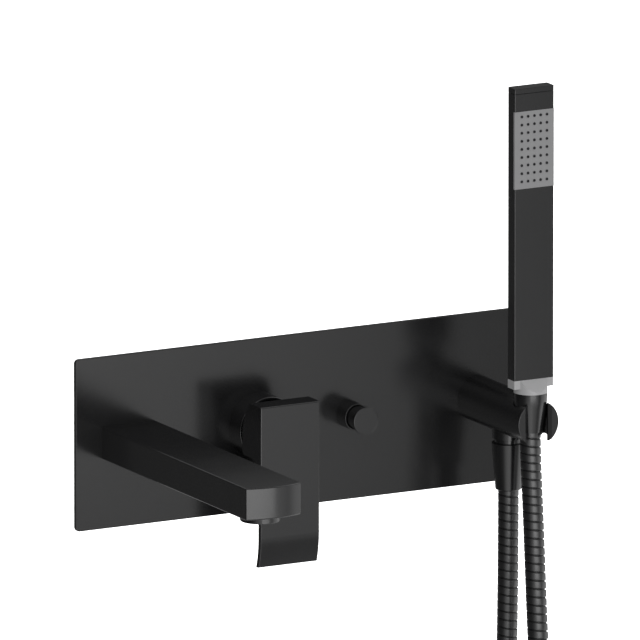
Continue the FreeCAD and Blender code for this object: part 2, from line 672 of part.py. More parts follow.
# ---------------------------------------------------------------- diverter
def make_diverter():
    front = -dim.plate_thick
    where = {"x": dim.diverter_x}
    rim = front - dim.diverter_sleeve
    round_edge = dim.diverter_rim
    sleeve = turned([
        (dim.diverter_sleeve_bore, rim), (dim.diverter_sleeve_radius - round_edge, rim),
        (dim.diverter_sleeve_radius, rim + round_edge, round_edge), (dim.diverter_sleeve_radius, front),
        (dim.diverter_bore, front), (dim.diverter_bore, 0.8), (dim.diverter_guide, 0.8),
        (dim.diverter_guide, front - 2),
        (dim.diverter_sleeve_bore, front - 2),
    ], **where)
    keep(sleeve, "diverter_sleeve")
    bonnet_outer = [(11.5, 1, 6), (dim.diverter_bore - 0.05, 6, 16)]
    bonnet_inner = [(dim.spindle_radius + 0.05, 1, 16)]
    keep(bored(bonnet_outer, bonnet_inner, **where), "diverter_bonnet")
    face = front - dim.knob_face
    neck = dim.knob_neck_radius
    disc_radius = dim.diverter_sleeve_radius
    disc_back = face + dim.knob_disc
    knob = turned([
        (0, face), (disc_radius - round_edge, face), (disc_radius, face + round_edge, round_edge),
        (disc_radius, disc_back),
        (neck, disc_back), (neck, dim.knob_step), (dim.knob_guide_radius, dim.knob_step),
        (dim.knob_guide_radius, dim.knob_neck_end), (dim.spindle_radius + 0.02, dim.knob_neck_end),
        (dim.spindle_radius + 0.02, -22), (0, -22),
    ], **where)
    keep(knob, "diverter_knob")
    piston_end = dim.piston_start + dim.piston_length
    spindle = solid_turned([(dim.spindle_radius, -21.9, dim.spindle_end),
                            (2, dim.spindle_end, piston_end + 1)], **where)
    keep(spindle, "diverter_spindle")
    grooves = [dim.piston_start + 2, piston_end - 2]
    blank = rod("Y", dim.piston_start, piston_end, (dim.diverter_x, 0), dim.piston_radius)
    bores = [
        rod("Y", dim.piston_start - 1, dim.spindle_end, (dim.diverter_x, 0), dim.spindle_radius + 0.02),
        rod("Y", dim.piston_start, piston_end + 1, (dim.diverter_x, 0), 2.02),
    ]
    major = dim.diverter_bore - 0.05 - dim.ring_radius
    channels = [ring("Y", y, (dim.diverter_x, 0), major, dim.ring_radius) for y in grooves]
    keep(cut(blank, bores + channels), "diverter_piston")
    rings = [ring("Y", y, (dim.diverter_x, 0), major, dim.ring_radius) for y in grooves]
    keep(group(rings), "diverter_seals")


# ---------------------------------------------------------------- hand shower outlet and holder
def make_holder():
    front = -dim.plate_thick
    tip = front - dim.holder_length
    outlet_y = front - dim.outlet_reach
    seat_y = front - dim.seat_reach
    radius = dim.holder_radius
    edge = dim.holder_edge
    bar = turned([
        (0, tip), (radius - edge, tip), (radius, tip + edge, edge), (radius, front), (0, front),
    ], x=dim.shower_x)
    spot = (dim.shower_x, outlet_y)
    stub = rod("Z", dim.stub_bottom, 0, spot, dim.stub_radius)
    waist = rod("Z", dim.groove_bottom, 0, spot, dim.groove_radius)
    thread = rod("Z", dim.stub_end, dim.groove_bottom, spot, dim.hose_thread_radius - dim.fit_gap)
    half_slot = dim.slot_width / 2
    slope = upper_nut_slope()
    seat_low = dim.upper_nut_bottom - 0.5
    low_radius = dim.upper_nut_bottom_radius + dim.seat_gap - slope * 0.5
    high_radius = low_radius - slope * seat_low
    bevel = doc.addObject("Part::Wedge", "Bevel")
    wide = half_slot + dim.slot_bevel
    limits = {
        "Xmin": -wide, "Xmax": wide, "X2min": -half_slot, "X2max": half_slot,
        "Ymin": Size.of(0), "Ymax": dim.slot_bevel,
        "Zmin": Size.of(-20), "Zmax": Size.of(20), "Z2min": Size.of(-20), "Z2max": Size.of(20),
    }
    for prop, size in limits.items():
        bind(bevel, prop, size)
    place(bevel, x=dim.shower_x, y=tip)
    hollows = [
        rod("Z", -20, 20, (dim.shower_x, seat_y), half_slot),
        cone(seat_low, 0, (dim.shower_x, seat_y), low_radius, high_radius),
        rod("Z", 0, radius + 1, (dim.shower_x, seat_y), dim.seat_bore),
        common(rod("Z", -20, 1, (dim.shower_x, seat_y), dim.seat_bore),
               box((dim.shower_x - 20, dim.shower_x + 20), (tip - 1, seat_y + dim.seat_ledge), (-20, 1))),
        box((dim.shower_x - half_slot, dim.shower_x + half_slot), (tip - 1, seat_y), (-20, 20)),
        bevel,
        rod("Y", front - dim.nipple_reach - 1, 0, (dim.shower_x, 0), dim.neck_radius + dim.fit_gap),
        rod("Y", outlet_y, front - dim.nipple_reach, (dim.shower_x, 0), dim.water_bore),
        rod("Z", dim.stub_end - 1, 0, spot, dim.water_bore),
    ]
    keep(cut(fuse([bar, stub, waist, thread]), hollows), "outlet_holder")
    nipple_outer = [
        (dim.neck_radius, front - dim.nipple_reach, 3), (12, 3, 8), (dim.port_radius, 8, 30),
    ]
    nipple_inner = [(dim.nipple_bore, front - dim.nipple_reach, 30)]
    keep(bored(nipple_outer, nipple_inner, x=dim.shower_x), "outlet_nipple")
    make_lower_hose_end(outlet_y)
    make_upper_hose_end(seat_y)


def make_lower_hose_end(y):
    where = {"x": dim.shower_x, "y": y, "along": "Z"}
    washer_end = dim.stub_end - 1.5
    flange_end = washer_end - 2.5
    bottom = dim.lower_nut_bottom
    foot = dim.lower_nut_bottom_radius
    edge = dim.lower_nut_round
    nut = turned([
        (dim.hose_bore, bottom), (foot - edge, bottom), (foot, bottom + edge, edge),
        (dim.lower_nut_top_radius, dim.lower_nut_top),
        (dim.hose_thread_radius, dim.lower_nut_top),
        (dim.hose_thread_radius, flange_end), (dim.hose_bore, flange_end),
    ], **where)
    keep(nut, "lower_hose_nut")
    keep(tube(9.2, 5, washer_end, dim.stub_end, **where), "outlet_washer")
    ferrule_outer = [(dim.hose_radius, bottom, flange_end), (9.2, flange_end, washer_end)]
    ferrule_inner = [(4.5, bottom, washer_end)]
    keep(bored(ferrule_outer, ferrule_inner, **where), "lower_ferrule")


def upper_nut_slope():
    """Growth of the cone nut's radius per length up its cone."""
    growth = dim.upper_nut_top_radius - dim.upper_nut_bottom_radius
    return growth / (dim.upper_nut_cone_top - dim.upper_nut_bottom)


def make_upper_hose_end(y):
    where = {"x": dim.shower_x, "y": y, "along": "Z"}
    bottom = dim.upper_nut_bottom
    top = dim.upper_nut_top
    ledge = Size.of(9.5)
    slope = upper_nut_slope()
    blend = dim.upper_nut_blend
    nut = turned([
        (dim.hose_bore, bottom), (dim.upper_nut_bottom_radius, bottom),
        (dim.upper_nut_top_radius - slope * blend, dim.upper_nut_cone_top - blend),
        (dim.upper_nut_top_radius, dim.upper_nut_cone_top + blend, blend * 2 / slope),
        (dim.upper_nut_top_radius, top),
        (dim.hose_thread_radius, top), (dim.hose_thread_radius, ledge), (dim.hose_bore, ledge),
    ], **where)
    keep(nut, "upper_hose_nut")
    flange = ledge + dim.seat_gap
    ferrule_outer = [(dim.hose_radius, bottom, flange), (9.0, flange, 12)]
    ferrule_inner = [(4.5, bottom, 12)]
    keep(bored(ferrule_outer, ferrule_inner, **where), "upper_ferrule")
    keep(tube(9.0, 5, 12, 13.4, **where), "hose_washer")


# ---------------------------------------------------------------- hand shower
def make_hand_shower():
    y = -dim.plate_thick - dim.seat_reach
    half_x = dim.hand_width / 2
    half_y = dim.hand_depth / 2
    wall = dim.hand_wall
    face = y - half_y
    left = dim.shower_x - half_x
    right = dim.shower_x + half_x
    seam = dim.hand_top - dim.hand_cap
    window_top = dim.hand_top - dim.spray_below_top
    window_low = window_top - dim.spray_height
    inner_x = (left + wall, right - wall)
    inner_y = (face + wall, y + half_y - wall)
    case = hand_block(half_x, half_y, dim.hand_bottom, seam - dim.cap_gap)
    keep(cut(case, [
        box(inner_x, inner_y, (dim.hand_bottom - 1, seam + 1)),
        box((left - 1, right + 1), (face - 1, face + dim.spray_thick), (window_low, window_top)),
    ]), "handset_shell")
    lid = hand_block(half_x, half_y, seam, dim.hand_top, "Z", dim.hand_top)
    plug = box((left + wall + 0.1, right - wall - 0.1), (face + wall + 0.1, y + half_y - wall - 0.1),
               (seam - 6, seam + 1))
    keep(fuse([lid, plug]), "handset_cap")
    make_spray_face(left, right, face, window_low, window_top)
    make_connector(y, half_x, half_y, wall)
    duct_y = (y - half_y + wall + 0.4, y + half_y - wall - 0.4)
    duct = box((dim.shower_x - 10, dim.shower_x + 10), duct_y, (38, window_low + 2))
    bore = box((dim.shower_x - 9, dim.shower_x + 9), (duct_y[0] + 1, duct_y[1] - 1), (37, window_low + 3))
    keep(cut(duct, [bore]), "handset_water_duct")


def hand_block(half_x, half_y, low, high, *flat):
    """A length of the handle's rectangular section with its long edges rounded."""
    outline = [(-half_x, -half_y), (half_x, -half_y), (half_x, half_y), (-half_x, half_y)]
    block = extruded("XY_Plane", outline, high - low, lift=low)
    rounded(block, dim.hand_edge, lambda edge: spans(edge, "Z") > 1)
    if flat:
        rounded(block, dim.hand_edge * 0.8, lambda edge: is_flat(edge, flat[0], flat[1].value))
    return place(block, x=dim.shower_x, y=-dim.plate_thick - dim.seat_reach)


def make_spray_face(left, right, face, low, high):
    panel = box((left, right), (face, face + dim.spray_thick), (low, high))
    columns = [dim.shower_x + dim.jet_pitch_x * k for k in (-2, -1, 0, 1, 2)]
    rows = [high - dim.jet_first - dim.jet_pitch_z * k for k in range(9)]
    spots = [(x, z) for z in rows for x in columns]
    holes = [rod("Y", face - 1, face + dim.spray_thick + 1, spot, dim.jet_radius + 0.05) for spot in spots]
    keep(cut(panel, [group(holes)]), "spray_plate")
    jets = []
    for spot in spots:
        jet = rod("Y", face - dim.jet_stand, face + dim.spray_thick + 0.4, spot, dim.jet_radius)
        bore = rod("Y", face - 1, face + dim.spray_thick + 1, spot, 0.4)
        jets.append(cut(jet, [bore]))
    keep(group(jets), "spray_nozzles")


def make_connector(y, half_x, half_y, wall):
    """Grey end piece: flat block under the handle running into a round threaded neck."""
    spot = (dim.shower_x, y)
    bottom = dim.hand_bottom - dim.connector_block
    left = dim.shower_x - half_x
    right = dim.shower_x + half_x
    radius = dim.connector_radius
    collar = rod("Z", dim.upper_nut_top, dim.hand_bottom, spot, radius)
    shoulder = dim.upper_nut_top + 1.8
    roof = [
        (-radius - 1, dim.upper_nut_top - 1), (radius + 1, dim.upper_nut_top - 1),
        (radius + 1, shoulder), (radius, shoulder), (half_y, dim.hand_bottom),
        (-half_y, dim.hand_bottom), (-radius, shoulder), (-radius - 1, shoulder),
    ]
    wedge = extruded("YZ_Plane", roof, 2 * radius + 2, midplane=True)
    place(wedge, x=dim.shower_x, y=y)
    block = hand_block(half_x, half_y, bottom, dim.hand_bottom)
    plug = box((left + wall + 0.1, right - wall - 0.1), (y - half_y + wall + 0.1, y + half_y - wall - 0.1),
               (dim.hand_bottom - 1, 37))
    thread = rod("Z", 13.8, dim.upper_nut_top, spot, dim.hose_thread_radius - 0.05)
    whole = fuse([common(collar, wedge), block, plug, thread])
    upper = box((dim.shower_x - 9, dim.shower_x + 9), (y - 1.6, y + 1.6), (dim.hand_bottom, 38))
    lower = rod("Z", 13, dim.hand_bottom + 1, spot, 5)
    low_slot = common(lower, box((left, right), (y - 3.4, y + 3.4), (12, dim.hand_bottom + 0.5)))
    neck_bore = rod("Z", 13, 22, spot, dim.water_bore)
    keep(cut(whole, [upper, low_slot, neck_bore]), "handset_connector")


# ---------------------------------------------------------------- hose
# The hose hangs as one loop in the plane X = shower_x.  Both lists hold (Y, Z) from a fitting down
# to the bottom of the loop, where the two lengths meet.
OUTLET_RUN = [
    (-47.7, -54.6), (-47.7, -85.0), (-46.9, -130.0), (-45.5, -180.0), (-42.3, -250.0),
    (-37.0, -325.0), (-29.5, -410.0), (-21.5, -480.0), (-16.5, -520.0), (-17.0, -555.0),
    (-28.5, -588.0), (-51.0, -610.5), (-78.0, -620.0), (-100.0, -620.0),
]
HANDSET_RUN = [
    (-79.2, -7.5), (-79.2, -21.0), (-81.4, -46.0), (-85.0, -86.0), (-88.6, -134.0),
    (-94.5, -190.0), (-105.0, -250.0), (-122.0, -320.0), (-143.0, -390.0), (-163.0, -453.0),
    (-178.0, -508.0), (-183.5, -553.0), (-171.5, -587.5), (-149.0, -610.0), (-122.0, -620.0),
    (-100.0, -620.0),
]


def cord_path(points):
    """Straight runs joined by tangent arcs; each arc takes 0.45 of its shorter run."""
    edges = []
    start = points[0]
    for before, corner, after in zip(points, points[1:], points[2:]):
        arriving = corner - before
        leaving = after - corner
        half_turn = arriving.getAngle(leaving) / 2
        reach = 0.45 * min(arriving.Length, leaving.Length)
        radius = reach / math.tan(half_turn)
        enter = corner - arriving.normalize() * reach
        leave = corner + leaving.normalize() * reach
        inward = (enter + leave) * 0.5 - corner
        bulge = radius / math.cos(half_turn) - radius
        middle = corner + inward.normalize() * bulge
        edges.append(Part.LineSegment(start, enter).toShape())
        edges.append(Part.Arc(enter, middle, leave).toShape())
        start = leave
        print(f"  arc radius {radius:.1f} mm at Z {corner.z:.0f}")
    edges.append(Part.LineSegment(start, points[-1]).toShape())
    return Part.Wire(edges)


def make_hose(label, route):
    x = dim.shower_x.value
    radius = dim.hose_radius.value
    points = [Vector(x, y, z) for y, z in route]
    path = cord_path(points)
    aim = points[1] - points[0]
    disc = Part.Wire([Part.makeCircle(radius, points[0], aim)])
    shape = path.makePipeShell([disc], True, False)
    expected = math.pi * radius * radius * path.Length
    print(f"{label}: {path.Length:.0f} mm, volume / (section x length) {shape.Volume / expected:.5f}")
    hose = doc.addObject("Part::Feature", "Hose")
    hose.Shape = shape
    hose.Placement = FreeCAD.Placement()
    keep(hose, label)


# ---------------------------------------------------------------- check and write
def check_document():
    bad = [item.Name for item in doc.Objects if "Invalid" in item.State or "Error" in item.State]
    if bad:
        raise ValueError(f"failed objects: {bad}")
    for part in PARTS:
        if part.Shape.isNull() or not part.Shape.isValid() or not part.Shape.Solids:
            raise ValueError(f"bad shape: {part.Label}")


def write_parts():
    os.makedirs("parts", exist_ok=True)
    for part in PARTS:
        part.Shape.exportStep(f"parts/{part.Label}.step")
        print(f"{part.Label}: {len(part.Shape.Solids)} solid(s), {part.Shape.Volume:.0f} mm3")


make_plate()
make_manifold()
make_spout()
make_mixer()
make_diverter()
make_holder()
make_hand_shower()
make_hose("hose_outlet_run", OUTLET_RUN)
make_hose("hose_handset_run", HANDSET_RUN)
doc.recompute()
check_document()
write_parts()
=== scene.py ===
"""Looks for the wall mounted bath faucet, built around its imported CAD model.

Everything is in metres in the part's own frame: X right along the plate, Y into the wall, Z up.
"""

import json
import math

import bpy
import numpy as np
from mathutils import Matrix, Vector


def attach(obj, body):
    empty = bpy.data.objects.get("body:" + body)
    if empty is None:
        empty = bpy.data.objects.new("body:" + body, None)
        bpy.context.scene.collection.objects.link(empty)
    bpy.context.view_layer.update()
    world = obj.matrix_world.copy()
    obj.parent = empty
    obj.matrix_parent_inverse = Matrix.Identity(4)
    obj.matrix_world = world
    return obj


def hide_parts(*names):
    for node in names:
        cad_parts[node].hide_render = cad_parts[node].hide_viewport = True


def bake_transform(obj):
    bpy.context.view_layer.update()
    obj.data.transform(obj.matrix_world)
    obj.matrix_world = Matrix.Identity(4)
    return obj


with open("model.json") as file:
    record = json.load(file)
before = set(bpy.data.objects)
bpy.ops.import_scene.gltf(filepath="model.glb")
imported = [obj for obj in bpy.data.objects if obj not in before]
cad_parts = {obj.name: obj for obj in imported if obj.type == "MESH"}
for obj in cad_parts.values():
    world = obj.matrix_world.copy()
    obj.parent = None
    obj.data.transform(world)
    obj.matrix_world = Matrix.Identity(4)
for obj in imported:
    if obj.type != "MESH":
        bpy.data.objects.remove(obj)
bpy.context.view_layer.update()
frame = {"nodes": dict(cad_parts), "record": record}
NODES = frame["nodes"]
SLOT_OF = {row["node"]: row["material_slot"] for row in frame["record"]["subparts"]}

# ------------------------------------------------------------------ node helpers
NOISE_ROUGHNESS = 0.55
SOCKETS = {
    "colour": "Base Color", "metal": "Metallic", "rough": "Roughness", "normal": "Normal",
    "specular": "Specular IOR Level",
}


class Look:
    """A procedural material; each method adds one node and returns the socket that carries it."""

    def __init__(self, name, **values):
        self.material = bpy.data.materials.new(name)
        self.material.use_nodes = True
        self.tree = self.material.node_tree
        self.shader = self.tree.nodes["Principled BSDF"]
        self.place = self.add("ShaderNodeTexCoord").outputs["Object"]
        for key, value in values.items():
            self.set(key, value)

    def add(self, kind, **settings):
        node = self.tree.nodes.new(kind)
        for key, value in settings.items():
            setattr(node, key, value)
        return node

    def feed(self, socket, value):
        if isinstance(value, bpy.types.NodeSocket):
            self.tree.links.new(value, socket)
        elif isinstance(value, tuple) and len(value) == 3 and socket.type == "RGBA":
            socket.default_value = (*value, 1.0)
        else:
            socket.default_value = value

    def set(self, key, value):
        self.feed(self.shader.inputs[SOCKETS[key]], value)

    def moved(self, scale):
        """The place stretched by a factor on each axis."""
        node = self.add("ShaderNodeVectorMath", operation="MULTIPLY")
        self.feed(node.inputs[0], self.place)
        node.inputs[1].default_value = scale
        return node.outputs[0]

    def noise(self, scale, detail=3.0, place=None):
        node = self.add("ShaderNodeTexNoise")
        self.feed(node.inputs["Vector"], place or self.place)
        node.inputs["Scale"].default_value = scale
        node.inputs["Detail"].default_value = detail
        node.inputs["Roughness"].default_value = NOISE_ROUGHNESS
        return node.outputs[0]

    def cells(self, scale):
        node = self.add("ShaderNodeTexVoronoi", feature="F1")
        self.feed(node.inputs["Vector"], self.place)
        node.inputs["Scale"].default_value = scale
        return node.outputs["Distance"]

    def spread(self, value, low, high, start=0.3, end=0.7):
        node = self.add("ShaderNodeMapRange")
        self.feed(node.inputs["Value"], value)
        for socket, number in zip(node.inputs[1:5], (start, end, low, high)):
            socket.default_value = number
        return node.outputs[0]

    def maths(self, operation, first, second):
        node = self.add("ShaderNodeMath", operation=operation)
        self.feed(node.inputs[0], first)
        self.feed(node.inputs[1], second)
        return node.outputs[0]

    def blend(self, amount, first, second):
        node = self.add("ShaderNodeMix", data_type="RGBA")
        self.feed(node.inputs[0], amount)
        self.feed(node.inputs[6], first)
        self.feed(node.inputs[7], second)
        return node.outputs[2]

    def bump(self, height, depth, under=None):
        """A dent of the given depth in metres, at full strength."""
        node = self.add("ShaderNodeBump")
        node.inputs["Strength"].default_value = 1.0
        node.inputs["Distance"].default_value = depth
        self.feed(node.inputs["Height"], height)
        if under is not None:
            self.feed(node.inputs["Normal"], under)
        return node.outputs[0]


# ------------------------------------------------------------------ materials
def black_coat(name, rough):
    """Satin black coat: fine orange peel, faint cloudy gloss and colour."""
    look = Look(name, metal=0.0, specular=0.55)
    cloud = look.noise(38.0, 3.0)
    speck = look.noise(5200.0, 2.0)
    wide, fine = look.maths("MULTIPLY", cloud, 0.6), look.maths("MULTIPLY", speck, 0.4)
    tint = look.spread(look.maths("ADD", wide, fine), 0.0, 1.0)
    look.set("colour", look.blend(tint, (0.0115, 0.0116, 0.0121), (0.0132, 0.0133, 0.0139)))
    gloss = look.spread(speck, rough - 0.01, rough + 0.01)
    look.set("rough", look.maths("ADD", look.spread(cloud, -0.02, 0.02), gloss))
    peel = look.bump(look.noise(1500.0, 2.0), 0.0000025)
    look.set("normal", look.bump(speck, 0.000001, under=peel))
    return look.material


def hose_metal():
    """Dark coated strip, with its grain drawn out along the hose."""
    look = Look("hose_metal", metal=0.0, specular=0.8)
    cloud = look.noise(60.0, 3.0)
    grain = look.noise(3800.0, 2.0, place=look.moved((1.0, 1.0, 0.15)))
    tint = look.spread(cloud, 0.0, 1.0)
    look.set("colour", look.blend(tint, (0.014, 0.014, 0.0147), (0.018, 0.018, 0.0188)))
    look.set("rough", look.spread(grain, 0.30, 0.36))
    look.set("normal", look.bump(grain, 0.000004))
    return look.material


def plastic(name, dark, light, rough, depth=0.00001):
    look = Look(name, metal=0.0, specular=0.5)
    cloud = look.noise(55.0, 4.0)
    grain = look.noise(4200.0, 2.0)
    look.set("colour", look.blend(look.spread(cloud, 0.0, 1.0), dark, light))
    look.set("rough", look.spread(grain, rough - 0.05, rough + 0.05))
    look.set("normal", look.bump(grain, depth))
    return look.material


def rubber(name, dark, light, rough):
    look = Look(name, metal=0.0, specular=0.35)
    cloud = look.noise(120.0, 4.0)
    grain = look.noise(6000.0, 3.0)
    look.set("colour", look.blend(look.spread(cloud, 0.0, 1.0), dark, light))
    look.set("rough", look.spread(cloud, rough - 0.06, rough + 0.06))
    look.set("normal", look.bump(grain, 0.00002))
    return look.material


def foam():
    look = Look("foam", metal=0.0, rough=0.9)
    pores = look.cells(1600.0)
    tint = look.spread(pores, 0.0, 1.0, 0.1, 0.6)
    look.set("colour", look.blend(tint, (0.03, 0.03, 0.033), (0.11, 0.11, 0.115)))
    look.set("normal", look.bump(pores, 0.00025))
    return look.material


def metal(name, dark, light, rough, stretch, lines=2600.0):
    """Machined or cast metal: streaks along one direction, cloudy tarnish."""
    look = Look(name, metal=1.0)
    cloud = look.noise(45.0, 5.0)
    streak = look.noise(lines, 2.0, place=look.moved(stretch))
    look.set("colour", look.blend(look.spread(cloud, 0.0, 1.0), dark, light))
    tarnish = look.spread(cloud, -0.05, 0.06)
    lines_rough = look.spread(streak, rough - 0.06, rough + 0.06)
    look.set("rough", look.maths("ADD", tarnish, lines_rough))
    look.set("normal", look.bump(streak, 0.00002))
    return look.material


LOOKS = {
    "black_metal": black_coat("black_coat", 0.21),
    "black_hose": hose_metal(),
    "grey_plastic": plastic("grey_plastic", (0.365, 0.366, 0.37), (0.39, 0.391, 0.396), 0.42),
    "pale_plastic": plastic("pale_plastic", (0.51, 0.51, 0.515), (0.54, 0.54, 0.545), 0.40),
    "nozzle_rubber": rubber("nozzle_rubber", (0.02, 0.02, 0.022), (0.035, 0.035, 0.038), 0.6),
    "brass": metal("brass", (0.52, 0.34, 0.13), (0.66, 0.46, 0.2), 0.36, (1.0, 0.06, 1.0)),
    "steel": metal("steel", (0.42, 0.42, 0.43), (0.56, 0.56, 0.57), 0.3, (0.05, 1.0, 1.0)),
    "seal_rubber": rubber("seal_rubber", (0.012, 0.012, 0.012), (0.022, 0.022, 0.022), 0.55),
    "foam": foam(),
    "white_plastic": plastic("white_plastic", (0.72, 0.72, 0.69), (0.8, 0.8, 0.77), 0.38),
    "ceramic": plastic("ceramic", (0.8, 0.77, 0.71), (0.86, 0.84, 0.79), 0.16, 0.000004),
}
for label, node in NODES.items():
    node.data.materials.clear()
    node.data.materials.append(LOOKS[SLOT_OF[label]])

# ------------------------------------------------------------------ shower hose
SHOWER_X = 0.135
HOSE_RADIUS = 0.00715
HOSE_PITCH = 0.0058
OUTLET_RUN = [
    (-0.0477, -0.0546), (-0.0477, -0.085), (-0.0469, -0.130), (-0.0455, -0.180),
    (-0.0423, -0.250), (-0.037, -0.325), (-0.0295, -0.410), (-0.0215, -0.480),
    (-0.0165, -0.520), (-0.017, -0.555), (-0.0285, -0.588), (-0.051, -0.6105),
    (-0.078, -0.620), (-0.100, -0.620),
]
HANDSET_RUN = [
    (-0.0792, -0.0075), (-0.0792, -0.021), (-0.0814, -0.046), (-0.085, -0.086),
    (-0.0886, -0.134), (-0.0945, -0.190), (-0.105, -0.250), (-0.122, -0.320),
    (-0.143, -0.390), (-0.163, -0.453), (-0.178, -0.508), (-0.1835, -0.553),
    (-0.1715, -0.5875), (-0.149, -0.610), (-0.122, -0.620), (-0.100, -0.620),
]
# One turn of the interlocked strip: (share of the pitch, radius less the hose's own).
STRIP = [
    (0.000, -0.00045), (0.020, -0.00047), (0.038, -0.00105), (0.066, -0.00105),
    (0.080, -0.00050), (0.095, -0.00014), (0.120, -0.00003), (0.170, 0.0), (0.500, 0.0),
    (0.830, 0.0), (0.880, -0.00003), (0.905, -0.00014), (0.920, -0.00050),
    (0.934, -0.00105), (0.962, -0.00105), (0.980, -0.00047),
]
HOSE_SIDES = 40
LINE_STEPS = 24  # points on the hose's line for each of its spans
LINE_ORDER = 3
NO_LENGTH = 1e-9  # a face shorter than this lies past the hose's end


def route_points(name, route):
    """Points along the smooth line that takes the route as its control points."""
    curve = bpy.data.curves.new(name + "_line", "CURVE")
    curve.dimensions = "3D"
    curve.resolution_u = LINE_STEPS
    line = curve.splines.new("NURBS")
    line.points.add(len(route) - 1)
    for point, (y, z) in zip(line.points, route):
        point.co = (SHOWER_X, y, z, 1.0)
    line.order_u = LINE_ORDER
    line.use_endpoint_u = True
    holder = bpy.data.objects.new(name + "_line", curve)
    bpy.context.scene.collection.objects.link(holder)
    bpy.context.view_layer.update()
    mesh = bpy.data.meshes.new_from_object(holder)
    points = np.array([vertex.co for vertex in mesh.vertices], float)
    bpy.data.objects.remove(holder)
    bpy.data.meshes.remove(mesh)
    bpy.data.curves.remove(curve)
    return points


def ribbed_hose(name, route):
    """A hose of interlocked strip: the rows of faces wind round it as the strip does."""
    line = route_points(name, route)
    steps = np.linalg.norm(np.diff(line, axis=0), axis=1)
    along = np.concatenate([[0.0], np.cumsum(steps)])
    length = along[-1]
    tangent = np.gradient(line, along, axis=0)
    tangent /= np.linalg.norm(tangent, axis=1)[:, None]
    turns = math.ceil(length / HOSE_PITCH) + 1
    shares = np.array([share for share, _ in STRIP])
    depths = np.array([depth for _, depth in STRIP])
    rows = (np.arange(turns)[:, None] + shares[None, :]).ravel()
    row_depths = np.tile(depths, turns)
    sides = np.arange(HOSE_SIDES)
    place = (rows[:, None] - sides[None, :] / HOSE_SIDES) * HOSE_PITCH
    place = np.clip(place, 0.0, length)
    flat = place.ravel()
    centre = np.stack([np.interp(flat, along, line[:, k]) for k in range(3)], 1)
    aim = np.stack([np.interp(flat, along, tangent[:, k]) for k in range(3)], 1)
    aim /= np.linalg.norm(aim, axis=1)[:, None]
    across = np.tile(np.array([1.0, 0.0, 0.0]), (len(flat), 1))
    outward = np.cross(aim, across)
    angle = np.tile(sides * (2 * math.pi / HOSE_SIDES), len(rows))
    radius = HOSE_RADIUS + np.repeat(row_depths, HOSE_SIDES)
    verts = centre + (np.cos(angle) * radius)[:, None] * across
    verts += (np.sin(angle) * radius)[:, None] * outward
    per_turn = len(STRIP)
    faces = []
    for row in range(len(rows) - 1):
        for side in range(HOSE_SIDES):
            beside, there = side + 1, row
            if beside == HOSE_SIDES:  # back at the first side, one turn on
                beside, there = 0, row - per_turn
            if there < 0:
                continue
            a, b = row * HOSE_SIDES + side, (row + 1) * HOSE_SIDES + side
            c, d = (there + 1) * HOSE_SIDES + beside, there * HOSE_SIDES + beside
            if np.ptp(flat[[a, b, c, d]]) < NO_LENGTH:
                continue
            faces.append((a, d, c, b))
    mesh = bpy.data.meshes.new(name)
    mesh.from_pydata(verts.tolist(), [], faces)
    mesh.update()
    hose = bpy.data.objects.new(name, mesh)
    bpy.context.scene.collection.objects.link(hose)
    mesh.materials.append(LOOKS["black_hose"])
    mesh.shade_smooth()
    return hose, line


outlet_run, outlet_line = ribbed_hose("hose_outlet_ribbed", OUTLET_RUN)
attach(outlet_run, "wall_unit")
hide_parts("hose_outlet_run")
handset_run, handset_line = ribbed_hose("hose_handset_ribbed", HANDSET_RUN)
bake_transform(handset_run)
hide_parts("hose_handset_run")

# ------------------------------------------------------------------ floor, light, camera
FLOOR_Z = -0.660
FLOOR_HALF = 60.0


def make_floor():
    mesh = bpy.data.meshes.new("studio_floor")
    half = FLOOR_HALF
    plan = [(-half, -half), (half, -half), (half, half), (-half, half)]
    corners = [(x, y, FLOOR_Z) for x, y in plan]
    mesh.from_pydata(corners, [], [(0, 1, 2, 3)])
    floor = bpy.data.objects.new("studio_floor", mesh)
    bpy.context.scene.collection.objects.link(floor)
    look = Look("floor_paint", colour=(0.96, 0.96, 0.96), specular=0.1)
    look.set("rough", look.spread(look.noise(3.0), 0.75, 0.85))
    mesh.materials.append(look.material)
    floor.visible_glossy = False
    floor.visible_diffuse = False
    return floor


studio_floor = make_floor()


# Brightness of the studio seen by the part, by compass angle in degrees: 0 is straight in front,
# 90 to the right, 180 behind the wall.
STUDIO = [
    (-180, 0.50), (-170, 0.45), (-162, 0.12), (-152, 0.09), (-95, 0.05), (-72, 0.12), (-60, 0.35),
    (-50, 0.75), (-40, 1.0), (-30, 1.1), (-18, 1.15), (-6, 0.75), (6, 0.65), (20, 0.4), (28, 0.22),
    (42, 0.28), (58, 1.3), (100, 1.3), (128, 0.12), (140, 0.14), (152, 0.30), (162, 0.14),
    (170, 0.45), (180, 0.50),
]
# Factor on it by the height of the sight line, -1 straight down to 1 straight up.
HEIGHTS = [
    (-1.0, 1.0), (-0.60, 1.6), (-0.40, 1.5), (-0.30, 1.15), (-0.22, 1.0), (-0.06, 1.0), (0.10, 0.4),
    (0.30, 0.5), (0.45, 1.3), (0.75, 1.3), (1.0, 0.6),
]
SKY = 0.35  # what rough surfaces get from it, the same all round


